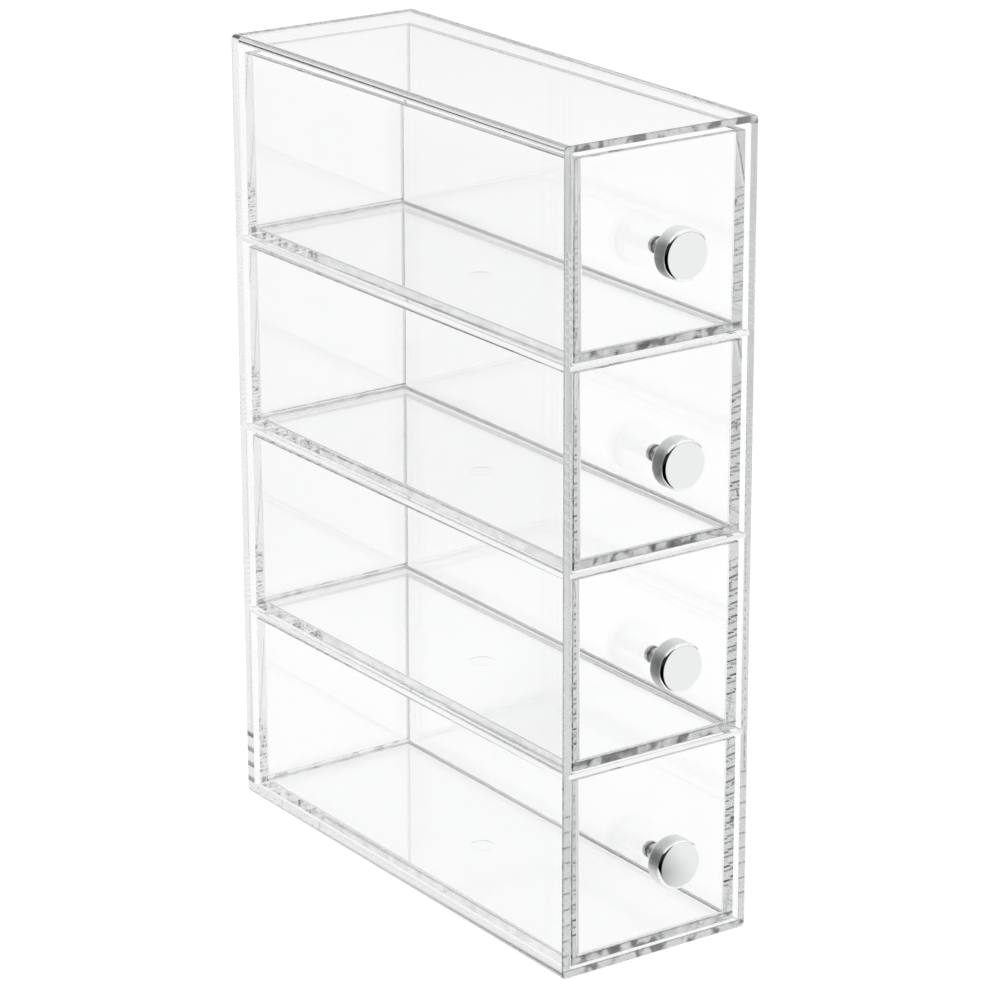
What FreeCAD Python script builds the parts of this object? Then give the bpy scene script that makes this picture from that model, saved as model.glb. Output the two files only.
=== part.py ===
import FreeCAD, Part
import math
import os

# Clear acrylic organizer: a moulded case with four drawers, one above another.
# Millimetres. +Z is up, the drawers pull out towards -Y, and the origin is at the
# centre of the case's underside.

V = FreeCAD.Vector

# ---- case: one clear moulding, open at the front ----
case_width = 88.0
case_depth = 230.0
side_wall = 3.5             # left and right walls
base_panel = 3.5
top_panel = 2.6
back_panel = 3.0
case_corner = 1.8           # round of the four long outer edges
case_rim_bevel = 0.4        # bevel of the front and back outlines
case_inner_corner = 0.6     # round of the four long inner edges

# ---- shelves: clear plates that slide into grooves of the case from the front ----
shelf_thickness = 1.9
groove_depth = 0.7          # how far a groove goes into the walls
groove_clearance = 0.1      # air between a shelf and its groove, on every side

# ---- drawers: one-piece moulded trays ----
drawer_height = 77.0        # at the front; the rim falls towards the back
rim_fall = 1.4              # how much lower the rim is at the back
drawer_front_wall = 2.8
drawer_rim_wall = 3.0       # side and back walls at the rim
drawer_draft = 0.6          # how much those walls thicken down to the floor
drawer_floor = 2.8
drawer_edge_bevel = 0.4     # bevel of the tray's outer edges
rim_bevel = 0.3             # bevel of the rim's inner and outer edges
cavity_corner = 1.2         # round of the upright inner corners
cavity_round = 1.25         # round where the floor meets the walls
gate_mark_radius = 5.0      # shallow dimple that the moulding gate leaves under the floor
gate_mark_depth = 0.25

# ---- how the drawers sit in the case ----
drawer_lift = 0.4           # running gap under a drawer
drawer_headroom = 1.0       # air over a drawer's front, up to the shelf above it
top_headroom = 2.6          # air over the top drawer's front, up to the top panel
drawer_side_gap = 1.5       # air on each side of a drawer
drawer_recess = 1.0         # how far a closed drawer's face lies behind the case's rim
drawer_rear_gap = 1.9       # air behind a closed drawer

# ---- knobs and their screws ----
cap_radius = 10.0
cap_thickness = 7.6
cap_front_round = 1.3
neck_radius = 3.3
neck_length = 9.0
neck_flare = 0.8            # where the neck widens into the cap
screw_radius = 2.0
screw_clearance = 0.15      # radial air round the screw's shank, in the wall and the knob
screw_reach = 6.0           # length of screw inside the knob
bore_run_out = 1.5          # depth of the knob's bore past the screw's tip
head_radius = 3.4
head_height = 2.4
head_bevel = 0.8            # bevel of the head's upper edge

round_steps = 3             # short cones that make up the round of a knob's cap

levels = ("bottom", "lower", "upper", "top")
shelves = ("lower", "middle", "upper")

# ---- what follows from those sizes ----
inner_width = case_width - 2 * side_wall
inner_front = -case_depth / 2
inner_back = case_depth / 2 - back_panel
level_pitch = drawer_lift + drawer_height + drawer_headroom + shelf_thickness
top_drawer_bottom = base_panel + (len(levels) - 1) * level_pitch + drawer_lift
case_height = top_drawer_bottom + drawer_height + top_headroom + top_panel

drawer_width = inner_width - 2 * drawer_side_gap
drawer_face = -case_depth / 2 + drawer_recess
drawer_back = inner_back - drawer_rear_gap
drawer_depth = drawer_back - drawer_face
cavity_front = drawer_face + drawer_front_wall

cut_over = 1.0              # how far a cutting tool runs past the face it cuts


def drawer_bottom(level):
    """Height of a drawer's underside; level 0 is the lowest."""
    return base_panel + level * level_pitch + drawer_lift


def shelf_bottom(index):
    """Height of a shelf's underside; shelf 0 is over the bottom drawer."""
    return drawer_bottom(index) + drawer_height + drawer_headroom


def knob_height(level):
    """Height of a knob's axis: the middle of its drawer's front."""
    return drawer_bottom(level) + drawer_height / 2


def block(width, front, back, low, high):
    """A box centred on X, between two Y values and two Z values."""
    corner = V(-width / 2, front, low)
    return Part.makeBox(width, back - front, high - low, corner)


def side_prism(width, outline):
    """A solid of the given width along X, centred, from the (y, z) points of its side."""
    corners = [V(-width / 2, y, z) for y, z in outline]
    side = Part.Face(Part.makePolygon(corners + corners[:1]))
    return side.extrude(V(width, 0, 0))


def tapered_block(low_end, high_end):
    """A block with flat sloping sides between two level rectangles centred on X.

    Each end is (half width, front, back, height).
    """
    low_half, low_front, low_back, low_z = low_end
    high_half, high_front, high_back, high_z = high_end
    # the wedge tapers along its own Y, which the turn about X then stands up along Z
    wedge = Part.makeWedge(
        -low_half, low_z, -low_back, -high_back, -high_half,
        low_half, high_z, -low_front, -high_front, high_half)
    wedge.rotate(V(0, 0, 0), V(1, 0, 0), 90)
    return wedge


def along(edge, direction):
    """True for a straight edge that runs along the given direction."""
    if edge.Curve.TypeId != "Part::GeomLine":
        return False
    run = edge.Vertexes[-1].Point - edge.Vertexes[0].Point
    return run.cross(direction).Length < 1e-6 * max(run.Length, 1.0)


def at_y(edge, y):
    """True for an edge that lies in the plane of the given Y."""
    return abs(edge.BoundBox.YMin - y) < 1e-6 and abs(edge.BoundBox.YMax - y) < 1e-6


def at_z(edge, z):
    """True for an edge that lies in the plane of the given Z."""
    return abs(edge.BoundBox.ZMin - z) < 1e-6 and abs(edge.BoundBox.ZMax - z) < 1e-6


def rim_height(y):
    """Height of a tray's sloping rim over its underside, at the given Y."""
    return drawer_height - rim_fall * (y - drawer_face) / drawer_depth


def on_rim(edge):
    """True for an edge of a tray that lies in the plane of its rim."""
    return all(abs(corner.Z - rim_height(corner.Y)) < 1e-6 for corner in edge.Vertexes)


def on_mouth(edge):
    """True for an edge of the rim that lies round the tray's hollow, half a wall or more inside."""
    side = (drawer_width - drawer_rim_wall) / 2
    front = drawer_face + drawer_front_wall / 2
    back = drawer_back - drawer_rim_wall / 2
    return on_rim(edge) and all(abs(c.X) < side and front < c.Y < back for c in edge.Vertexes)


def with_rounds(shape, radius, wanted):
    """The shape with a round on each edge that the test wanted() picks."""
    edges = [edge for edge in shape.Edges if wanted(edge)]
    return shape.makeFillet(radius, edges)


def with_bevels(shape, width, wanted):
    """The shape with a 45 degree bevel on each edge that the test wanted() picks."""
    edges = [edge for edge in shape.Edges if wanted(edge)]
    return shape.makeChamfer(width, edges)


def turned(outline):
    """A solid turned about the Y axis from the (radius, y) points of a closed outline."""
    corners = [V(radius, y, 0) for radius, y in outline]
    face = Part.Face(Part.makePolygon(corners + corners[:1]))
    return face.revolve(V(0, 0, 0), V(0, 1, 0), 360)


def cap_round(radius, y_centre):
    """Points of the round between the cap's face and its side, from the face on.

    The short cones that they turn into keep the mesh of a small round light.
    """
    points = []
    for step in range(round_steps + 1):
        angle = math.radians(90 * step / round_steps)
        out = cap_radius - radius + radius * math.sin(angle)
        points.append((out, y_centre - radius * math.cos(angle)))
    return points


# ---- the pieces ----

def case_shell():
    """Base, top, sides and back in one moulding, with grooves for the shelves."""
    outside = block(case_width, -case_depth / 2, case_depth / 2, 0, case_height)
    outside = with_rounds(outside, case_corner, lambda e: along(e, V(0, 1, 0)))
    for end in (-case_depth / 2, case_depth / 2):
        outside = with_bevels(outside, case_rim_bevel, lambda e: at_y(e, end))

    hollow = block(inner_width, inner_front - cut_over, inner_back, base_panel, case_height - top_panel)
    hollow = with_rounds(hollow, case_inner_corner, lambda e: along(e, V(0, 1, 0)))
    shell = outside.cut(hollow)

    for index in range(len(shelves)):
        low = shelf_bottom(index) - groove_clearance
        high = low + shelf_thickness + 2 * groove_clearance
        reach = inner_width + 2 * groove_depth
        shell = shell.cut(block(reach, inner_front - cut_over, inner_back + groove_depth, low, high))
    return shell


def shelf(index):
    """A plate with its sides and its back edge in the case's grooves."""
    tongue = groove_depth - groove_clearance
    low = shelf_bottom(index)
    return block(inner_width + 2 * tongue, inner_front, inner_back + tongue, low, low + shelf_thickness)


def tray_hollow():
    """The tray's hollow: upright at the front wall, drafted at the sides and the back.

    It stands on the tray's floor and runs on past the rim at the same slope.
    """
    half_width = drawer_width / 2 - drawer_rim_wall
    back = drawer_back - drawer_rim_wall
    top = drawer_height + cut_over
    over = drawer_draft * cut_over / (drawer_height - drawer_floor)
    hollow = tapered_block(
        (half_width - drawer_draft, cavity_front, back - drawer_draft, drawer_floor),
        (half_width + over, cavity_front, back + over, top))
    hollow = with_rounds(hollow, cavity_corner, lambda e: not at_z(e, top) and not at_z(e, drawer_floor))
    return with_rounds(hollow, cavity_round, lambda e: at_z(e, drawer_floor))


def drawer(level):
    """A one-piece tray: thick clear walls, drafted hollow, hole for the knob's screw.

    It is made with its underside at Z = 0 and then lifted to its level.
    """
    tray = side_prism(drawer_width, [
        (drawer_face, 0), (drawer_back, 0),
        (drawer_back, drawer_height - rim_fall), (drawer_face, drawer_height)])
    tray = with_bevels(tray, drawer_edge_bevel, lambda e: not on_rim(e))
    tray = with_bevels(tray, rim_bevel, on_rim)

    tray = tray.cut(tray_hollow())
    tray = with_bevels(tray, rim_bevel, on_mouth)

    hole_radius = screw_radius + screw_clearance
    hole_start = V(0, drawer_face - cut_over, drawer_height / 2)
    hole_length = drawer_front_wall + 2 * cut_over
    tray = tray.cut(Part.makeCylinder(hole_radius, hole_length, hole_start, V(0, 1, 0)))

    gate_centre = V(0, (drawer_face + drawer_back) / 2, -cut_over)
    tray = tray.cut(Part.makeCylinder(gate_mark_radius, cut_over + gate_mark_depth, gate_centre))
    tray.translate(V(0, 0, drawer_bottom(level)))
    return tray


def knob(level):
    """A turned knob: round cap on a neck, bored from behind for its screw.

    The neck's end is at Y = 0 of the outline and the cap lies towards -Y.
    """
    cap_back = -neck_length
    cap_face = -neck_length - cap_thickness
    bore_radius = screw_radius + screw_clearance
    bore_end = -(screw_reach + bore_run_out)
    outline = [
        (0, bore_end),
        (0, cap_face),
        *cap_round(cap_front_round, cap_face + cap_front_round),
        (cap_radius, cap_back),
        (neck_radius + neck_flare, cap_back),
        (neck_radius, cap_back + neck_flare),
        (neck_radius, 0),
        (bore_radius, 0),
        (bore_radius, bore_end),
    ]
    body = turned(outline)
    body.translate(V(0, drawer_face, knob_height(level)))
    return body


def knob_screw(level):
    """A pan-head screw, put in from inside the drawer, that holds the knob.

    The head's underside is at Y = 0 of the outline and the shank runs towards -Y.
    """
    tip = -(drawer_front_wall + screw_reach)
    outline = [
        (0, tip),
        (screw_radius, tip),
        (screw_radius, 0),
        (head_radius, 0),
        (head_radius, head_height - head_bevel),
        (head_radius - head_bevel, head_height),
        (0, head_height),
    ]
    screw = turned(outline)
    screw.translate(V(0, cavity_front, knob_height(level)))
    return screw


def all_pieces():
    """Every piece of the organizer, by the name of its file."""
    pieces = {"case_shell": case_shell()}
    for index, name in enumerate(shelves):
        pieces["shelf_" + name] = shelf(index)
    for level, name in enumerate(levels):
        pieces["drawer_" + name] = drawer(level)
        pieces["knob_" + name] = knob(level)
        pieces["knob_screw_" + name] = knob_screw(level)
    return pieces


os.makedirs("parts", exist_ok=True)
for node, shape in all_pieces().items():
    solid = shape.removeSplitter()
    solid.exportStep("parts/" + node + ".step")
    box = solid.BoundBox
    print("%-18s %s  %.1f x %.1f x %.1f mm, %.2f cm3" % (
        node, "valid" if solid.isValid() else "NOT VALID",
        box.XLength, box.YLength, box.ZLength, solid.Volume / 1000))
print("case %.1f x %.1f x %.1f mm" % (case_width, case_depth, case_height))
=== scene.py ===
# %% [markdown]
# # A clear drawer organizer in a white studio
#
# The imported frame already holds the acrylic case, its shelves, the drawers and their slides.
# This lesson keeps those shapes. It gives them the look of moulded acrylic, turns the
# chromed knobs and their screws with Geometry Nodes, and builds a white studio round them.
# Lengths are metres, +Z is up, and the drawers pull out towards -Y.

# %% Load the frame
import math
import bpy
from mathutils import Matrix, Vector


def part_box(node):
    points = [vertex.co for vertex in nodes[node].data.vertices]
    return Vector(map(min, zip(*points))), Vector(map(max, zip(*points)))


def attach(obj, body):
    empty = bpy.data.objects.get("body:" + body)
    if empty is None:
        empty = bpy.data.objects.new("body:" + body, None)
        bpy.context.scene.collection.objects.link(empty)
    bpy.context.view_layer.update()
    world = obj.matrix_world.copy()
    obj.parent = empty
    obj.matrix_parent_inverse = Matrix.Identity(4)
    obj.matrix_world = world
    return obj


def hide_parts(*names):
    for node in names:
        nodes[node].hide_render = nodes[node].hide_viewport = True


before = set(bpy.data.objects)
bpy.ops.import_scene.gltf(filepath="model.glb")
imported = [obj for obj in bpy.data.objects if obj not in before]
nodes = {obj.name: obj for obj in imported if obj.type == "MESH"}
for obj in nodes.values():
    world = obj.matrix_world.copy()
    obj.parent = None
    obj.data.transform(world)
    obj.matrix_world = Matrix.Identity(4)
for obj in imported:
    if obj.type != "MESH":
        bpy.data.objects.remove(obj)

scene = bpy.context.scene
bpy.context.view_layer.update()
MM = 0.001
print("pieces in the frame:", sorted(nodes))

# %% [markdown]
# ## The camera
# A long lens from the front left, a little above the case, keeps the upright edges nearly
# parallel. The three angles are the camera's Euler turns about X, Y and Z.

# %% Camera
camera_place = Vector((-0.8962, -1.3078, 0.6880))
camera_turn = (71.372, 0.128, -34.671)
sensor_width_mm = 36.0
lens_mm = 151.45
case_centre = Vector((0, 0, 0.16))

camera_data = bpy.data.cameras.new("picture_camera")
camera_data.sensor_width = sensor_width_mm
camera_data.lens = lens_mm
camera = bpy.data.objects.new("picture_camera", camera_data)
camera.location = camera_place
camera.rotation_euler = [math.radians(angle) for angle in camera_turn]
scene.collection.objects.link(camera)
scene.camera = camera
print("camera is", round((camera_place - case_centre).length, 2), "m from the middle of the case")

# %% [markdown]
# ## Small helpers for node trees
# `add` makes a node, `put` sets sockets that stay constant, and `join` links two sockets.
# `math_node` takes numbers or sockets and gives back its output socket, so sums can be
# written one after another. A new material starts empty, so that every node in it is one
# that this lesson explains.

# %% Node helpers
def add(tree, kind, place, **settings):
    node = tree.nodes.new(kind)
    node.location = place
    for name, setting in settings.items():
        setattr(node, name, setting)
    return node


def put(node, **values):
    for name, number in values.items():
        node.inputs[name.replace("_", " ")].default_value = number


def join(tree, source, target):
    tree.links.new(source, target)


def grey(level):
    return (level, level, level, 1.0)


def empty_material(name):
    material = bpy.data.materials.new(name)
    material.use_nodes = True
    material.node_tree.nodes.clear()
    return material


def math_node(tree, place, operation, first=None, second=None):
    node = add(tree, "ShaderNodeMath", place, operation=operation)
    for socket, given in zip(node.inputs, (first, second)):
        if given is None:
            continue
        if isinstance(given, (int, float)):
            socket.default_value = given
        else:
            join(tree, given, socket)
    return node.outputs[0]


def step_between(tree, place, source, start, end):
    """A value that climbs from 0 to 1 while the source goes from start to end."""
    node = add(tree, "ShaderNodeMapRange", place, interpolation_type="SMOOTHSTEP")
    put(node, From_Min=start, From_Max=end)
    join(tree, source, node.inputs["Value"])
    return node.outputs["Result"]

# %% [markdown]
# ## Shared effect: the slow waves of a moulded surface
# Moulded acrylic is never quite flat. Long shallow waves bend what is seen through it, and
# finer ripples break the light that travels inside a thick edge into dark and bright blots.
# The group gives a bump height in metres. It reads Object coordinates, so the waves stay on
# the piece when a drawer slides.

# %% Moulded waves group
def moulded_waves_group():
    group = bpy.data.node_groups.new("moulded_waves", "ShaderNodeTree")
    sockets = group.interface
    for name in ("Wave Scale", "Wave Height", "Ripple Scale", "Ripple Height"):
        sockets.new_socket(name, in_out="INPUT", socket_type="NodeSocketFloat")
    sockets.new_socket("Height", in_out="OUTPUT", socket_type="NodeSocketFloat")
    start = add(group, "NodeGroupInput", (-700, 0))
    end = add(group, "NodeGroupOutput", (500, 0))
    place = add(group, "ShaderNodeTexCoord", (-700, -250))
    parts = []
    for kind, y in (("Wave", 150), ("Ripple", -150)):
        noise = add(group, "ShaderNodeTexNoise", (-400, y))
        put(noise, Detail=0.0)
        join(group, place.outputs["Object"], noise.inputs["Vector"])
        join(group, start.outputs[kind + " Scale"], noise.inputs["Scale"])
        height = start.outputs[kind + " Height"]
        parts.append(math_node(group, (-100, y), "MULTIPLY", noise.outputs["Fac"], height))
    both = math_node(group, (200, 0), "ADD", *parts)
    join(group, both, end.inputs["Height"])
    return group


moulded_waves = moulded_waves_group()
print("group", moulded_waves.name, "has", len(moulded_waves.nodes), "nodes")

# %% [markdown]
# ## Shared effect: where a surface turns a corner
# Every edge of clear acrylic shows a thin grey line, and here that grey is painted shade:
# the bevels and rounds get a darker base colour. Flat faces of these pieces point along X, Y
# or Z. The group measures how far the normal leans away from all three, and gives 1 on the
# bevels and rounds.

# %% Leaning faces group
lean_start, lean_full = 0.004, 0.05     # 1 minus the largest part of the normal


def leaning_faces_group():
    group = bpy.data.node_groups.new("leaning_faces", "ShaderNodeTree")
    group.interface.new_socket("Mask", in_out="OUTPUT", socket_type="NodeSocketFloat")
    end = add(group, "NodeGroupOutput", (700, 0))
    place = add(group, "ShaderNodeTexCoord", (-700, 0))
    upright = add(group, "ShaderNodeVectorMath", (-500, 0), operation="ABSOLUTE")
    join(group, place.outputs["Normal"], upright.inputs[0])
    split = add(group, "ShaderNodeSeparateXYZ", (-300, 0))
    join(group, upright.outputs[0], split.inputs[0])
    larger = math_node(group, (-100, 100), "MAXIMUM", split.outputs["X"], split.outputs["Y"])
    largest = math_node(group, (100, 0), "MAXIMUM", larger, split.outputs["Z"])
    lean = math_node(group, (300, 0), "SUBTRACT", 1.0, largest)
    join(group, step_between(group, (500, 0), lean, lean_start, lean_full), end.inputs["Mask"])
    return group


leaning_faces = leaning_faces_group()
print("group", leaning_faces.name, "has", len(leaning_faces.nodes), "nodes")

# %% [markdown]
# ## Shared effect: zones of the trays and of the case
# The trays differ only in height, by one pitch. The remainder of Z over that pitch is a
# height above each tray's own underside, so one group serves all four. The zones are:
#
# - *Tray Floor*: the edge of a tray's floor, 1 in front and a share of that at the sides.
# - *Tray Heel*: the same edge at the back.
# - *Tray Rim*: the level rim of a tray.
# - *Case Front*: the front edges of the case, 1 on base and top, a share on the uprights.

# %% Zones group
tray_low, tray_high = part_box("drawer_bottom")
tray_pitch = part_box("drawer_lower")[0].z - tray_low.z
floor_reach_up = 4.05 * MM              # the tray's floor and the round above it
rim_start = tray_high.z - tray_low.z - 2.0 * MM
case_low, case_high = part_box("case_shell")
case_middle = (case_low.z + case_high.z) / 2
panel_start = case_middle - 3.5 * MM    # base and top begin this far from the middle
front_reach = case_low.y + 0.6 * MM
upright_share = 0.08
side_share = 0.25
# Parts of a normal, each from where a mask starts to where it is full.
upright_part = (0.05, 0.01)             # Z part of an upright face
sideways_part = (0.5, 0.9)              # X part of a face at the side
level_part = (0.90, 0.99)               # Z part of a level face


def share_of(tree, place, mask, share):
    """The mask, lifted so that it lies between the share and 1."""
    lifted = math_node(tree, place, "MULTIPLY_ADD", mask, 1.0 - share)
    lifted.node.inputs[2].default_value = share
    return lifted


def zones_group():
    group = bpy.data.node_groups.new("acrylic_zones", "ShaderNodeTree")
    for name in ("Tray Floor", "Tray Heel", "Tray Rim", "Case Front"):
        group.interface.new_socket(name, in_out="OUTPUT", socket_type="NodeSocketFloat")
    end = add(group, "NodeGroupOutput", (1100, 0))
    place = add(group, "ShaderNodeTexCoord", (-900, 0))
    split = add(group, "ShaderNodeSeparateXYZ", (-700, 0))
    join(group, place.outputs["Object"], split.inputs[0])
    turned = add(group, "ShaderNodeVectorMath", (-700, -250), operation="ABSOLUTE")
    join(group, place.outputs["Normal"], turned.inputs[0])
    facing = add(group, "ShaderNodeSeparateXYZ", (-500, -250))
    join(group, turned.outputs[0], facing.inputs[0])
    y, z = split.outputs["Y"], split.outputs["Z"]

    # One millimetre is lent to the height, so that the underside itself doesn't wrap round.
    above = math_node(group, (-300, 0), "SUBTRACT", z, tray_low.z - MM)
    turn = math_node(group, (-100, 0), "FLOORED_MODULO", above, tray_pitch)
    own = math_node(group, (100, 0), "SUBTRACT", turn, MM)

    low = step_between(group, (300, 100), own, floor_reach_up, floor_reach_up - MM)
    upright = step_between(group, (300, -100), facing.outputs["Z"], *upright_part)
    edge = math_node(group, (500, 100), "MULTIPLY", low, upright)
    ahead = step_between(group, (300, -200), y, tray_low.y + MM, tray_low.y + 0.5 * MM)
    beside = step_between(group, (100, -300), facing.outputs["X"], *sideways_part)
    beside = math_node(group, (300, -300), "MULTIPLY", beside, side_share)
    outside = math_node(group, (500, -200), "MAXIMUM", ahead, beside)
    join(group, math_node(group, (700, 100), "MULTIPLY", edge, outside), end.inputs["Tray Floor"])
    behind = step_between(group, (500, 300), y, tray_high.y - MM, tray_high.y - 0.5 * MM)
    join(group, math_node(group, (700, 300), "MULTIPLY", edge, behind), end.inputs["Tray Heel"])

    high = step_between(group, (300, -400), own, rim_start, rim_start + MM)
    level = step_between(group, (300, -550), facing.outputs["Z"], *level_part)
    join(group, math_node(group, (700, -400), "MULTIPLY", high, level), end.inputs["Tray Rim"])

    from_middle = math_node(group, (-100, -700), "SUBTRACT", z, case_middle)
    from_middle = math_node(group, (100, -700), "ABSOLUTE", from_middle)
    outer = step_between(group, (300, -700), from_middle, panel_start, panel_start + 0.5 * MM)
    front = step_between(group, (300, -900), y, front_reach, front_reach - 0.3 * MM)
    shared = share_of(group, (500, -700), outer, upright_share)
    join(group, math_node(group, (700, -700), "MULTIPLY", shared, front), end.inputs["Case Front"])
    return group


acrylic_zones = zones_group()
print("group", acrylic_zones.name, "has", len(acrylic_zones.nodes), "nodes")

# %% [markdown]
# ## Shared effect: painted blots of shade
# Light that comes out of a long thick edge is broken into dark blots by small waves all
# along its way. Tracing that exactly would take a mesh of every wave, so a smooth noise,
# pushed towards its two ends, marks where blots of shade are painted into the colour. They
# lie a few millimetres apart.

# %% Blots group
blot_scale = 170.0              # noise cells per metre, so about 6 mm from blot to blot
blot_start, blot_full = 0.45, 0.62


def painted_blots_group():
    group = bpy.data.node_groups.new("painted_edge_blots", "ShaderNodeTree")
    group.interface.new_socket("Mask", in_out="OUTPUT", socket_type="NodeSocketFloat")
    end = add(group, "NodeGroupOutput", (500, 0))
    place = add(group, "ShaderNodeTexCoord", (-500, 0))
    noise = add(group, "ShaderNodeTexNoise", (-200, 0))
    put(noise, Scale=blot_scale, Detail=1.0, Roughness=0.5, Distortion=0.4)
    join(group, place.outputs["Object"], noise.inputs["Vector"])
    blots = step_between(group, (100, 0), noise.outputs["Fac"], blot_start, blot_full)
    join(group, blots, end.inputs["Mask"])
    return group


painted_edge_blots = painted_blots_group()
print("group", painted_edge_blots.name, "has", len(painted_edge_blots.nodes), "nodes")

# %% [markdown]
# ## Clear acrylic
# The Principled shader does the glass work: transmission 1 and the index of acrylic, 1.49.
# Its colour is close to white, because every crossing of a surface tints the light by it.
# The leaning faces get a darker grey base colour, a painted shade which draws the edges. The
# rim of a tray and the blots in a zone are painted darker still. Light that runs the length of
# a wall meets the volume's faint absorption and comes out grey. For shadow rays a transparent
# shader takes over, so that the case doesn't throw the shadow of a solid block.

# %% Acrylic materials
acrylic_index = 1.49
face_tint = (0.9975, 0.999, 0.9985, 1.0)
depth_tint = (0.50, 0.52, 0.515, 1.0)
shadow_tint = (0.965, 0.972, 0.970, 1.0)
# painted shade: grey levels of the tray rim and of the blots
painted_rim_shade = 0.30
painted_blot_shade = 0.10
wave_scale = 32.0
ripple_scale = 150.0
ripple_start, ripple_full = 0.5, 1.0    # only the full part of a zone has ripples


def painted_grey(tree, place, mask, colour, level):
    """The colour, and where the mask is 1 a painted grey shade of the given level."""
    mix = add(tree, "ShaderNodeMix", place, data_type="RGBA")
    if isinstance(colour, tuple):
        mix.inputs[6].default_value = colour
    else:
        join(tree, colour, mix.inputs[6])
    mix.inputs[7].default_value = grey(level)
    join(tree, mask, mix.inputs[0])
    return mix.outputs[2]


def acrylic(name, painted_edge_shade, density, wave_height, ripple_height=0.0, zone_name=None, tray=False):
    material = empty_material(name)
    tree = material.node_tree
    out = add(tree, "ShaderNodeOutputMaterial", (900, 0))
    clear = add(tree, "ShaderNodeBsdfPrincipled", (300, 200))
    put(clear, Roughness=0.0, IOR=acrylic_index, Transmission_Weight=1.0)

    lean = add(tree, "ShaderNodeGroup", (-300, 500), node_tree=leaning_faces)
    zones = add(tree, "ShaderNodeGroup", (-800, 0), node_tree=acrylic_zones)
    # painted shade: bevels and rounds get a darker grey base colour
    colour = painted_grey(tree, (-100, 500), lean.outputs["Mask"], face_tint, painted_edge_shade)
    if tray:
        # painted shade: the level rim of a tray gets a darker grey
        colour = painted_grey(tree, (50, 600), zones.outputs["Tray Rim"], colour, painted_rim_shade)
    if zone_name:
        blots = add(tree, "ShaderNodeGroup", (-600, 700), node_tree=painted_edge_blots)
        zone = zones.outputs[zone_name]
        blotted = math_node(tree, (-400, 700), "MULTIPLY", zone, blots.outputs["Mask"])
        # painted shade: dark blots in the zone's base colour
        colour = painted_grey(tree, (150, 700), blotted, colour, painted_blot_shade)
    join(tree, colour, clear.inputs["Base Color"])

    waves = add(tree, "ShaderNodeGroup", (-300, 0), node_tree=moulded_waves)
    put(waves, Wave_Scale=wave_scale, Wave_Height=wave_height, Ripple_Scale=ripple_scale)
    if zone_name:
        rippled = step_between(tree, (-650, 0), zone, ripple_start, ripple_full)
        if tray:
            rippled = math_node(tree, (-600, 100), "MAXIMUM", rippled, zones.outputs["Tray Heel"])
        zoned = math_node(tree, (-500, 0), "MULTIPLY", rippled, ripple_height)
        join(tree, zoned, waves.inputs["Ripple Height"])
    bump = add(tree, "ShaderNodeBump", (0, 0))
    put(bump, Strength=1.0, Distance=1.0)
    join(tree, waves.outputs["Height"], bump.inputs["Height"])
    join(tree, bump.outputs["Normal"], clear.inputs["Normal"])

    shade = add(tree, "ShaderNodeBsdfTransparent", (300, -400))
    put(shade, Color=shadow_tint)
    path = add(tree, "ShaderNodeLightPath", (300, 500))
    mix = add(tree, "ShaderNodeMixShader", (650, 100))
    join(tree, path.outputs["Is Shadow Ray"], mix.inputs[0])
    join(tree, clear.outputs[0], mix.inputs[1])
    join(tree, shade.outputs[0], mix.inputs[2])
    join(tree, mix.outputs[0], out.inputs["Surface"])

    depth = add(tree, "ShaderNodeVolumeAbsorption", (650, -300))
    put(depth, Color=depth_tint, Density=density)
    join(tree, depth.outputs[0], out.inputs["Volume"])
    return material


print("the index of acrylic is", acrylic_index)

# %% [markdown]
# ## Three acrylics
# The case, the shelves and the trays differ in how grey their edges are painted, how much their
# depth absorbs and how strong their waves are. The shelves are thin plates that lie within
# the case, so theirs is the faintest. The first word of a piece's name chooses its acrylic.

# %% Acrylic on the pieces
looks = {
    "case": acrylic("case_acrylic", painted_edge_shade=0.70, density=3.0, wave_height=1.5e-5,
                    ripple_height=2.0e-3, zone_name="Case Front"),
    "shelf": acrylic("shelf_acrylic", painted_edge_shade=0.80, density=0.4, wave_height=0.2e-5),
    "drawer": acrylic("tray_acrylic", painted_edge_shade=0.50, density=2.8, wave_height=2.0e-5,
                      ripple_height=3.0e-3, zone_name="Tray Floor", tray=True),
}
for name, piece in nodes.items():
    kind = name.split("_")[0]
    if kind in looks:
        piece.data.materials.clear()
        piece.data.materials.append(looks[kind])
        print(name, "gets", looks[kind].name)

# %% [markdown]
# ## Shared effect: turning marks
# A lathe leaves fine rings. Rings round the knob's axis depend only on the distance from
# that axis and on the place along it, so a noise texture that is given just those two
# numbers makes perfect rings. The axes lie one pitch apart. Two masks tell the knob's side
# and its face from the rounds between them.

# %% Turning marks group
knob_low, knob_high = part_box("knob_bottom")
lowest_knob = (knob_low.z + knob_high.z) / 2
# Y part of a normal, from where a mask starts to where it is full.
side_part = (0.15, 0.02)
face_part = (0.97, 0.995)


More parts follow.
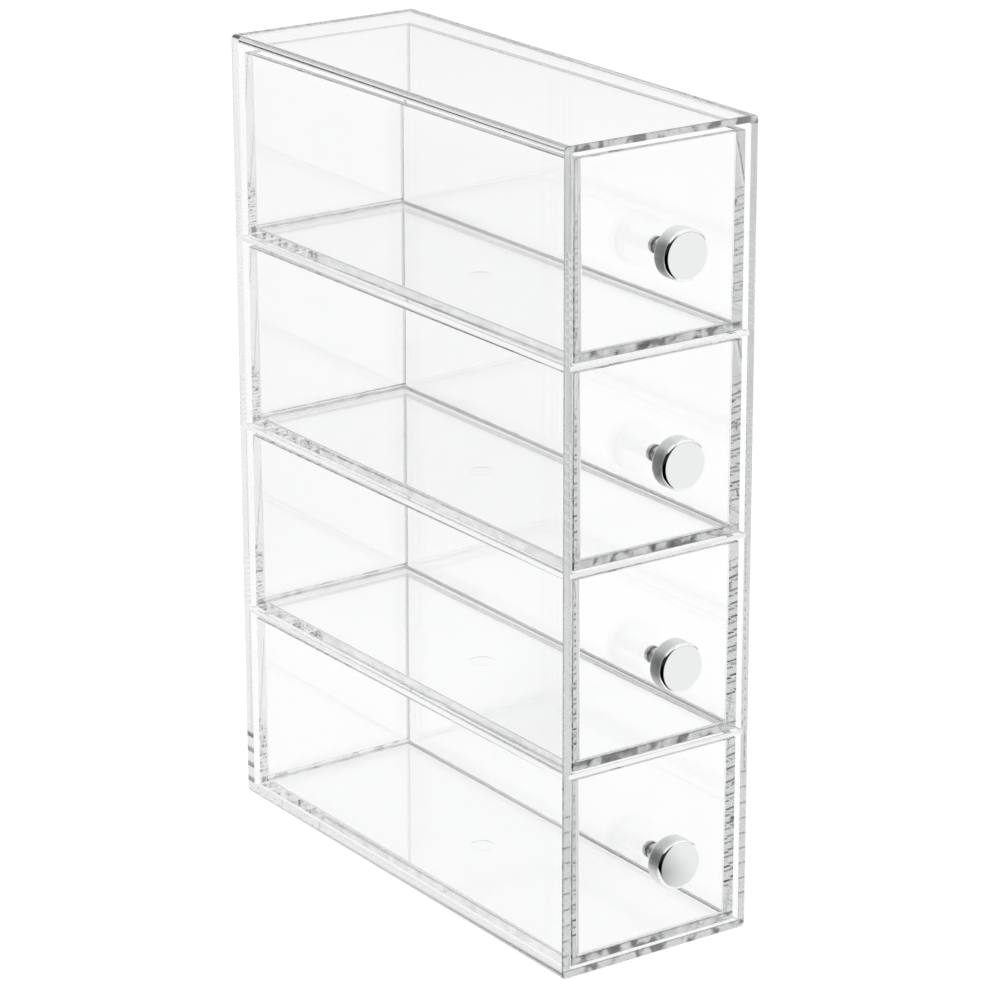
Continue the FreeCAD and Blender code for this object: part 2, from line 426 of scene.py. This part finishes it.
def turning_marks_group():
    group = bpy.data.node_groups.new("turning_marks", "ShaderNodeTree")
    group.interface.new_socket("Ring Scale", in_out="INPUT", socket_type="NodeSocketFloat")
    for name in ("Rings", "Side", "Face"):
        group.interface.new_socket(name, in_out="OUTPUT", socket_type="NodeSocketFloat")
    start = add(group, "NodeGroupInput", (-900, 200))
    end = add(group, "NodeGroupOutput", (900, 0))
    place = add(group, "ShaderNodeTexCoord", (-900, 0))
    split = add(group, "ShaderNodeSeparateXYZ", (-700, 0))
    join(group, place.outputs["Object"], split.inputs[0])
    start_height = lowest_knob - tray_pitch / 2
    above = math_node(group, (-500, -100), "SUBTRACT", split.outputs["Z"], start_height)
    turn = math_node(group, (-300, -100), "FLOORED_MODULO", above, tray_pitch)
    up = math_node(group, (-100, -100), "SUBTRACT", turn, tray_pitch / 2)
    across = add(group, "ShaderNodeCombineXYZ", (100, 0))
    join(group, split.outputs["X"], across.inputs["X"])
    join(group, up, across.inputs["Z"])
    radius = add(group, "ShaderNodeVectorMath", (300, 0), operation="LENGTH")
    join(group, across.outputs[0], radius.inputs[0])
    ring_place = add(group, "ShaderNodeCombineXYZ", (500, 100))
    join(group, radius.outputs["Value"], ring_place.inputs["X"])
    join(group, split.outputs["Y"], ring_place.inputs["Y"])
    rings = add(group, "ShaderNodeTexNoise", (700, 200))
    put(rings, Detail=2.0, Roughness=0.6)
    join(group, ring_place.outputs[0], rings.inputs["Vector"])
    join(group, start.outputs["Ring Scale"], rings.inputs["Scale"])
    join(group, rings.outputs["Fac"], end.inputs["Rings"])
    facing = add(group, "ShaderNodeSeparateXYZ", (-700, -400))
    join(group, place.outputs["Normal"], facing.inputs[0])
    to_front = math_node(group, (-500, -400), "ABSOLUTE", facing.outputs["Y"])
    join(group, step_between(group, (-300, -400), to_front, *side_part), end.inputs["Side"])
    join(group, step_between(group, (-300, -600), to_front, *face_part), end.inputs["Face"])
    return group


turning_marks = turning_marks_group()
print("group", turning_marks.name, "has", len(turning_marks.nodes), "nodes")

# %% [markdown]
# ## Chrome and nickel
# Chrome is a metal with a little blue in its grey. The side is left as it was turned: it
# is rougher, the rings raise and lower it, and its highlights run round the axis. The face
# and the rounds are polished, so the mask takes the rings away there, and the face's colour
# is painted a shade darker, a painted shade for what it reflects. The screw is nickel and duller.

# %% Metal materials
painted_face_shade = 0.88               # painted shade: how bright a face's colour is beside the rest


def turned_metal(name, colour, polish, side_rough, side_height, ring_scale):
    material = empty_material(name)
    tree = material.node_tree
    out = add(tree, "ShaderNodeOutputMaterial", (900, 0))
    metal = add(tree, "ShaderNodeBsdfPrincipled", (600, 0))
    put(metal, Metallic=1.0, Anisotropic=0.9, Anisotropic_Rotation=0.25)
    marks = add(tree, "ShaderNodeGroup", (-600, 0), node_tree=turning_marks)
    put(marks, Ring_Scale=ring_scale)

    # painted shade: the face gets a darker colour than the side
    shade = add(tree, "ShaderNodeMix", (200, 300), data_type="RGBA")
    shade.inputs[6].default_value = (*colour, 1.0)
    shade.inputs[7].default_value = (*[painted_face_shade * part for part in colour], 1.0)
    join(tree, marks.outputs["Face"], shade.inputs[0])
    join(tree, shade.outputs[2], metal.inputs["Base Color"])

    rough = add(tree, "ShaderNodeMapRange", (200, 0))
    put(rough, To_Min=polish, To_Max=side_rough)
    join(tree, marks.outputs["Side"], rough.inputs["Value"])
    join(tree, rough.outputs["Result"], metal.inputs["Roughness"])
    round_axis = add(tree, "ShaderNodeTangent", (200, -500), direction_type="RADIAL", axis="Y")
    join(tree, round_axis.outputs[0], metal.inputs["Tangent"])

    bump = add(tree, "ShaderNodeBump", (200, -300))
    put(bump, Strength=1.0, Distance=side_height)
    cut = math_node(tree, (0, -300), "MULTIPLY", marks.outputs["Rings"], marks.outputs["Side"])
    join(tree, cut, bump.inputs["Height"])
    join(tree, bump.outputs["Normal"], metal.inputs["Normal"])
    join(tree, metal.outputs[0], out.inputs["Surface"])
    return material


knob_chrome = turned_metal("knob_chrome", (0.94, 0.945, 0.95), polish=0.08, side_rough=0.55,
                           side_height=6.0e-5, ring_scale=2400.0)
screw_nickel = turned_metal("screw_nickel", (0.80, 0.80, 0.80), polish=0.30, side_rough=0.45,
                            side_height=1.0e-5, ring_scale=2600.0)

# %% [markdown]
# ## Turning a piece with Geometry Nodes
# A lathe needs an outline and a circle. The outline is a line of mesh points, each set to
# its own radius and height. Every corner has its own rounding, which Fillet Curve makes.
# Curve to Mesh then sweeps the outline round a circle, and Merge by Distance closes the
# poles. The sizes are inputs of the tree, and the modifier that runs it sets them.
#
# Curve to Mesh measures the outline from the circle's own radius and points it downward,
# so the radius loses the circle's radius and the height changes sign.

# %% Lathe helpers
circle_radius = 20.0 * MM       # of the circle that the outline is swept round
merge_distance = 0.002 * MM


def size_inputs(tree, sizes):
    """Makes one named length input for each size, and the node that reads them."""
    for name, length in sizes.items():
        socket = tree.interface.new_socket(name, in_out="INPUT", socket_type="NodeSocketFloat")
        socket.subtype = "DISTANCE"
        socket.default_value = length
    return add(tree, "NodeGroupInput", (-1600, 0))


def index_switch(tree, place, kind, choices):
    """Gives each point of the outline its own choice, by the point's index."""
    switch = add(tree, "GeometryNodeIndexSwitch", place, data_type=kind)
    while len(switch.index_switch_items) < len(choices):
        switch.index_switch_items.new()
    index = add(tree, "GeometryNodeInputIndex", (place[0] - 200, place[1]))
    join(tree, index.outputs[0], switch.inputs["Index"])
    for slot, choice in enumerate(choices, start=1):
        if isinstance(choice, (int, float)):
            switch.inputs[slot].default_value = choice
        else:
            join(tree, choice, switch.inputs[slot])
    return switch.outputs[0]


def turned_outline(tree, points, steps_round, steps_corner):
    """A closed solid turned about Z from (radius, height, rounding) corners."""
    places = []
    for row, (radius, height, rounding) in enumerate(points):
        y = 900 - 180 * row
        corner = add(tree, "ShaderNodeCombineXYZ", (-1000, y))
        across = math_node(tree, (-1300, y), "SUBTRACT", radius, circle_radius)
        down = math_node(tree, (-1300, y - 90), "MULTIPLY", height, -1.0)
        join(tree, across, corner.inputs["X"])
        join(tree, down, corner.inputs["Y"])
        places.append(corner.outputs[0])
    line = add(tree, "GeometryNodeMeshLine", (-700, 300), mode="OFFSET")
    put(line, Count=len(points))
    shape = add(tree, "GeometryNodeSetPosition", (-400, 200))
    join(tree, line.outputs[0], shape.inputs["Geometry"])
    join(tree, index_switch(tree, (-700, 0), "VECTOR", places), shape.inputs["Position"])
    outline = add(tree, "GeometryNodeMeshToCurve", (-200, 200))
    join(tree, shape.outputs[0], outline.inputs[0])
    fillet = add(tree, "GeometryNodeFilletCurve", (0, 200), mode="POLY")
    put(fillet, Count=steps_corner, Limit_Radius=True)
    join(tree, outline.outputs[0], fillet.inputs["Curve"])
    roundings = [rounding for radius, height, rounding in points]
    join(tree, index_switch(tree, (-200, -200), "FLOAT", roundings), fillet.inputs["Radius"])
    circle = add(tree, "GeometryNodeCurvePrimitiveCircle", (0, 400))
    put(circle, Resolution=steps_round, Radius=circle_radius)
    sweep = add(tree, "GeometryNodeCurveToMesh", (200, 300))
    join(tree, circle.outputs[0], sweep.inputs["Curve"])
    join(tree, fillet.outputs[0], sweep.inputs["Profile Curve"])
    closed = add(tree, "GeometryNodeMergeByDistance", (400, 300))
    put(closed, Distance=merge_distance)
    join(tree, sweep.outputs[0], closed.inputs["Geometry"])
    return closed.outputs[0]


print("outlines are swept round a circle of", round(circle_radius / MM), "mm")

# %% [markdown]
# ## From a tree to a mesh
# Each tree ends alike: the axis is laid along -Y, the small turns are shaded smooth and the
# material is set. The tree then runs once in a modifier. The mesh that comes out is kept as
# a plain object, with sharp edges where two faces meet at more than 35 degrees.

# %% Mesh helpers
sharp_angle = math.radians(35)


def finish_tree(tree, geometry, material):
    """Points the axis to -Y, shades small turns smooth, and sets the material."""
    turn = add(tree, "GeometryNodeTransform", (700, 300))
    put(turn, Rotation=(math.radians(90), 0, 0))
    join(tree, geometry, turn.inputs["Geometry"])
    real = add(tree, "GeometryNodeRealizeInstances", (900, 300))
    join(tree, turn.outputs[0], real.inputs[0])
    smooth = add(tree, "GeometryNodeSetShadeSmooth", (1100, 300))
    join(tree, real.outputs[0], smooth.inputs["Geometry"])
    coat = add(tree, "GeometryNodeSetMaterial", (1300, 300))
    put(coat, Material=material)
    join(tree, smooth.outputs[0], coat.inputs["Geometry"])
    out = add(tree, "NodeGroupOutput", (1500, 300))
    join(tree, coat.outputs[0], out.inputs[0])


def mesh_from_tree(tree, name, place, sizes):
    """Runs the tree in a modifier and keeps the result as one plain mesh object."""
    holder = bpy.data.objects.new(name + "_maker", bpy.data.meshes.new(name + "_maker"))
    scene.collection.objects.link(holder)
    modifier = holder.modifiers.new("lathe", "NODES")
    modifier.node_group = tree
    for item in tree.interface.items_tree:
        if item.in_out == "INPUT" and item.name in sizes:
            modifier[item.identifier] = sizes[item.name]
    graph = bpy.context.evaluated_depsgraph_get()
    mesh = bpy.data.meshes.new_from_object(holder.evaluated_get(graph))
    bpy.data.objects.remove(holder)
    mesh.name = name
    mesh.transform(Matrix.Translation(place))
    for polygon in mesh.polygons:
        polygon.use_smooth = True
    mesh.set_sharp_from_angle(angle=sharp_angle)
    piece = bpy.data.objects.new(name, mesh)
    scene.collection.objects.link(piece)
    return piece


print("edges sharper than", round(math.degrees(sharp_angle)), "degrees stay sharp")

# %% [markdown]
# ## The knob
# The cap is 20 mm across. Its front edge has a wide polished round, its back edge a small
# one, and the neck runs from the drawer's face to the cap. The bore is where the screw
# goes in. Its last point lies on the axis, so the solid closes.

# %% Knob tree
knob_sizes = {
    "Cap Radius": 10.0 * MM,
    "Cap Thickness": 7.6 * MM,
    "Front Round": 1.3 * MM,
    "Back Round": 0.6 * MM,
    "Neck Radius": 3.3 * MM,
    "Neck Length": 9.0 * MM,
    "Neck Flare": 0.8 * MM,
    "Bore Radius": 2.15 * MM,
    "Bore Depth": 7.5 * MM,
}

knob_tree = bpy.data.node_groups.new("turned_knob", "GeometryNodeTree")
knob_tree.interface.new_socket("Geometry", in_out="OUTPUT", socket_type="NodeSocketGeometry")
size = size_inputs(knob_tree, knob_sizes).outputs
front = math_node(knob_tree, (-1500, 600), "ADD", size["Neck Length"], size["Cap Thickness"])
knob_body = turned_outline(knob_tree, [
    (0.0, front, 0.0),
    (size["Cap Radius"], front, size["Front Round"]),
    (size["Cap Radius"], size["Neck Length"], size["Back Round"]),
    (size["Neck Radius"], size["Neck Length"], size["Neck Flare"]),
    (size["Neck Radius"], 0.0, 0.0),
    (size["Bore Radius"], 0.0, 0.0),
    (size["Bore Radius"], size["Bore Depth"], 0.0),
    (0.0, size["Bore Depth"], 0.0),
], steps_round=128, steps_corner=8)
finish_tree(knob_tree, knob_body, knob_chrome)
print("knob tree:", len(knob_tree.nodes), "nodes,", len(knob_sizes), "sizes")

# %% [markdown]
# ## The screw
# A pan-head screw sits inside each drawer and holds the knob. Its head and shank are turned
# like the knob. Two thin blocks, crossed, are then taken away from the head for the driver.

# %% Screw tree
screw_sizes = {
    "Shank Radius": 2.0 * MM,
    "Shank Length": 8.8 * MM,
    "Tip Round": 0.5 * MM,
    "Head Radius": 3.4 * MM,
    "Head Height": 2.4 * MM,
    "Head Round": 1.2 * MM,
    "Recess Length": 3.8 * MM,
    "Recess Width": 0.9 * MM,
    "Recess Depth": 1.3 * MM,
}

screw_tree = bpy.data.node_groups.new("turned_screw", "GeometryNodeTree")
screw_tree.interface.new_socket("Geometry", in_out="OUTPUT", socket_type="NodeSocketGeometry")
size = size_inputs(screw_tree, screw_sizes).outputs
head_top = math_node(screw_tree, (-1500, 600), "MULTIPLY", size["Head Height"], -1.0)
screw_body = turned_outline(screw_tree, [
    (0.0, size["Shank Length"], 0.0),
    (size["Shank Radius"], size["Shank Length"], size["Tip Round"]),
    (size["Shank Radius"], 0.0, 0.0),
    (size["Head Radius"], 0.0, 0.0),
    (size["Head Radius"], head_top, size["Head Round"]),
    (0.0, head_top, 0.0),
], steps_round=64, steps_corner=6)
deep = math_node(screw_tree, (300, -100), "MULTIPLY", size["Recess Depth"], 2.0)
cross = add(screw_tree, "GeometryNodeMeshBoolean", (600, 0), operation="DIFFERENCE", solver="EXACT")
join(screw_tree, screw_body, cross.inputs["Mesh 1"])
blocks = (("Recess Length", "Recess Width"), ("Recess Width", "Recess Length"))
for row, (length, width) in enumerate(blocks):
    box_size = add(screw_tree, "ShaderNodeCombineXYZ", (200, -300 - 200 * row))
    join(screw_tree, size[length], box_size.inputs["X"])
    join(screw_tree, size[width], box_size.inputs["Y"])
    join(screw_tree, deep, box_size.inputs["Z"])
    box = add(screw_tree, "GeometryNodeMeshCube", (400, -300 - 200 * row))
    join(screw_tree, box_size.outputs[0], box.inputs["Size"])
    box_place = add(screw_tree, "ShaderNodeCombineXYZ", (400, -400 - 200 * row))
    join(screw_tree, head_top, box_place.inputs["Z"])
    moved = add(screw_tree, "GeometryNodeTransform", (500, -300 - 200 * row))
    join(screw_tree, box.outputs[0], moved.inputs["Geometry"])
    join(screw_tree, box_place.outputs[0], moved.inputs["Translation"])
    join(screw_tree, moved.outputs[0], cross.inputs["Mesh 2"])
finish_tree(screw_tree, cross.outputs[0], screw_nickel)
print("screw tree:", len(screw_tree.nodes), "nodes,", len(screw_sizes), "sizes")

# %% [markdown]
# ## Putting the metal pieces on the drawers
# The box of the matching CAD node says where each piece goes. A knob starts on the drawer's
# face, and a screw's head rests on the inside of the same wall. Each one rides on its
# drawer's body and stands for the CAD node that it replaces.

# %% Knobs and screws
levels = ("bottom", "lower", "upper", "top")
for level in levels:
    low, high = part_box("knob_" + level)
    axis_height = (low.z + high.z) / 2
    face = Vector((0, high.y, axis_height))
    knob = mesh_from_tree(knob_tree, "turned_knob_" + level, face, knob_sizes)
    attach(knob, "drawer_" + level)
    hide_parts("knob_" + level)

    low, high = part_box("knob_screw_" + level)
    seat = Vector((0, high.y - screw_sizes["Head Height"], axis_height))
    screw = mesh_from_tree(screw_tree, "pan_screw_" + level, seat, screw_sizes)
    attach(screw, "drawer_" + level)
    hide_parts("knob_screw_" + level)
    faces = len(knob.data.polygons) + len(screw.data.polygons)
    print(level, "knob axis at", round(axis_height / MM, 2), "mm,", faces, "faces")

# %% [markdown]
# ## The floor
# One large sheet lies just under the case. Its own origin is under the case too, so a place
# on it, made one unit long, is a direction. `sector` turns such a direction into a mask.

# %% Floor
floor_reach = 8.0
floor_drop = 0.5 * MM           # keeps the paper clear of the case's underside
card_depth = 0.98               # how dark the dark side of the studio is
camera_direction = (-0.83, -0.56)
camera_sector = (58, 76)        # degrees to either side: fully in, and just out

floor_mesh = bpy.data.meshes.new("paper_floor")
corners = [(x * floor_reach, y * floor_reach, 0) for x, y in ((-1, -1), (1, -1), (1, 1), (-1, 1))]
floor_mesh.from_pydata(corners, [], [(0, 1, 2, 3)])
floor = bpy.data.objects.new("paper_floor", floor_mesh)
floor.location.z = -floor_drop
scene.collection.objects.link(floor)


def sector(tree, place, unit, direction, half_angles):
    """1 where a level unit vector lies within the sector round the direction."""
    aim = add(tree, "ShaderNodeVectorMath", place, operation="DOT_PRODUCT")
    aim.inputs[1].default_value = Vector((*direction, 0)).normalized()
    join(tree, unit, aim.inputs[0])
    inside, outside = (math.cos(math.radians(angle)) for angle in half_angles)
    return step_between(tree, (place[0] + 200, place[1]), aim.outputs["Value"], outside, inside)


print("floor reaches", floor_reach, "m each way")

# %% [markdown]
# ## White paper
# A lit floor alone would turn grey away from the lamps, so for the camera, and for rays
# that the metal and the acrylic send on, the paper glows just under white and adds a faint
# share of real light, which keeps a soft shadow under the case.
#
# The surroundings of a studio are never evenly white. For rays that only mirrors send on,
# the paper on the camera's side is nearly black, which gives the chrome its black line. For
# what passes through the acrylic too, the paper is a trace greyer, and more so behind on
# the left. The camera itself sees plain white everywhere.

# %% Paper
paper_matte = 0.85
paper_faint, paper_glow = 0.12, 0.93
card_near, card_full = 0.16, 0.22
back_left_direction = (-0.56, 0.83)
back_left_sector = (25, 55)
back_left_near, back_left_full = 0.25, 0.5
back_left_shade = 0.14
paper_shade = 0.022

paper = empty_material("white_paper")
tree = paper.node_tree
out = add(tree, "ShaderNodeOutputMaterial", (1400, 0))
matte = add(tree, "ShaderNodeBsdfDiffuse", (900, 300))
put(matte, Color=grey(paper_matte))
faint = add(tree, "ShaderNodeBsdfDiffuse", (500, 100))
glow = add(tree, "ShaderNodeEmission", (500, -100))
lit = add(tree, "ShaderNodeAddShader", (900, 0))
join(tree, faint.outputs[0], lit.inputs[0])
join(tree, glow.outputs[0], lit.inputs[1])

place = add(tree, "ShaderNodeTexCoord", (-1200, -300))
away = add(tree, "ShaderNodeVectorMath", (-1000, -200), operation="LENGTH")
join(tree, place.outputs["Object"], away.inputs[0])
unit = add(tree, "ShaderNodeVectorMath", (-1000, -400), operation="NORMALIZE")
join(tree, place.outputs["Object"], unit.inputs[0])
path = add(tree, "ShaderNodeLightPath", (-400, 500))
glossy, passed = path.outputs["Is Glossy Ray"], path.outputs["Is Transmission Ray"]
sent_on = math_node(tree, (-200, 700), "MAXIMUM", glossy, passed)
mirrored = math_node(tree, (-200, 300), "GREATER_THAN", glossy, passed)

camera_side = sector(tree, (-800, -300), unit.outputs[0], camera_direction, camera_sector)
far = step_between(tree, (-400, -200), away.outputs["Value"], card_near, card_full)
black = math_node(tree, (-200, -200), "MULTIPLY", camera_side, far)
black = math_node(tree, (0, -200), "MULTIPLY", black, mirrored)
black = math_node(tree, (100, -200), "MULTIPLY", black, card_depth)
level = math_node(tree, (200, -300), "SUBTRACT", 1.0, black)

behind = sector(tree, (-800, -700), unit.outputs[0], back_left_direction, back_left_sector)
beyond = step_between(tree, (-400, -500), away.outputs["Value"], back_left_near, back_left_full)
dim = math_node(tree, (-200, -600), "MULTIPLY", behind, beyond)
dim = math_node(tree, (-100, -700), "MULTIPLY_ADD", dim, back_left_shade)
dim.node.inputs[2].default_value = paper_shade
dim = math_node(tree, (100, -700), "MULTIPLY", dim, sent_on)
level = math_node(tree, (300, -300), "SUBTRACT", level, dim)
join(tree, math_node(tree, (350, -450), "MULTIPLY", level, paper_faint), faint.inputs["Color"])
join(tree, math_node(tree, (350, -600), "MULTIPLY", level, paper_glow), glow.inputs["Strength"])

seen = math_node(tree, (0, 500), "MAXIMUM", path.outputs["Is Camera Ray"], sent_on)
mix = add(tree, "ShaderNodeMixShader", (1200, 100))
join(tree, seen, mix.inputs[0])
join(tree, matte.outputs[0], mix.inputs[1])
join(tree, lit.outputs[0], mix.inputs[2])
join(tree, mix.outputs[0], out.inputs["Surface"])
floor_mesh.materials.append(paper)
print("paper has", len(tree.nodes), "nodes")

# %% [markdown]
# ## The world
# The world is a broad soft ceiling and the only lamp. It is bright from about 15 degrees
# upward and falls off towards the horizon. Glossy rays, which here are all those that metal
# and acrylic send on, find it nearly black on the camera's side up to about 45 degrees,
# like the paper there. To the camera itself it is plain white.

# %% World
horizon_light = 0.50
sky_stops = ((0.12, 0.62), (0.26, 0.98), (0.60, 0.99))     # height of the ray, light
dark_until, light_from = 0.62, 0.78                        # height of the ray, camera's side

world = bpy.data.worlds.new("soft_ceiling")
scene.world = world
world.use_nodes = True
tree = world.node_tree
tree.nodes.clear()
out = add(tree, "ShaderNodeOutputWorld", (900, 0))
place = add(tree, "ShaderNodeTexCoord", (-1100, 0))
split = add(tree, "ShaderNodeSeparateXYZ", (-900, 200))
join(tree, place.outputs["Generated"], split.inputs[0])
ramp = add(tree, "ShaderNodeValToRGB", (-500, 200))
join(tree, split.outputs["Z"], ramp.inputs[0])
stops = ramp.color_ramp.elements
stops[0].position, stops[0].color = 0.0, grey(horizon_light)
stops[1].position, stops[1].color = 1.0, grey(1.0)
for height, light in sky_stops:
    stops.new(height).color = grey(light)

level_place = add(tree, "ShaderNodeVectorMath", (-1000, -300), operation="MULTIPLY")
level_place.inputs[1].default_value = (1, 1, 0)
join(tree, place.outputs["Generated"], level_place.inputs[0])
unit = add(tree, "ShaderNodeVectorMath", (-1000, -450), operation="NORMALIZE")
join(tree, level_place.outputs[0], unit.inputs[0])
camera_side = sector(tree, (-800, -300), unit.outputs[0], camera_direction, camera_sector)
low_sky = step_between(tree, (-500, -150), split.outputs["Z"], light_from, dark_until)
path = add(tree, "ShaderNodeLightPath", (-400, 500))
black = math_node(tree, (-200, -200), "MULTIPLY", camera_side, low_sky)
black = math_node(tree, (-50, -200), "MULTIPLY", black, path.outputs["Is Glossy Ray"])
black = math_node(tree, (50, -200), "MULTIPLY", black, card_depth)
level = math_node(tree, (100, -200), "SUBTRACT", 1.0, black)
sky = add(tree, "ShaderNodeBackground", (400, 100))
join(tree, ramp.outputs[0], sky.inputs["Color"])
join(tree, level, sky.inputs["Strength"])
white = add(tree, "ShaderNodeBackground", (400, -100))
put(white, Color=grey(1.0), Strength=1.0)
mix = add(tree, "ShaderNodeMixShader", (700, 0))
join(tree, path.outputs["Is Camera Ray"], mix.inputs[0])
join(tree, sky.outputs[0], mix.inputs[1])
join(tree, white.outputs[0], mix.inputs[2])
join(tree, mix.outputs[0], out.inputs["Surface"])
print("world has", len(tree.nodes), "nodes")

# %% [markdown]
# ## Ray depth
# Light that enters the edge of a 3 mm wall bounces dozens of times before it leaves at the
# far end. With the usual limits those rays would stop and the edges would turn black.

# %% Ray depth
deep_enough = 96
shadow_depth = 64
scene.view_settings.view_transform = "Standard"
scene.cycles.max_bounces = deep_enough
scene.cycles.transmission_bounces = deep_enough
scene.cycles.glossy_bounces = deep_enough
scene.cycles.transparent_max_bounces = shadow_depth
print("rays may bounce", deep_enough, "times")
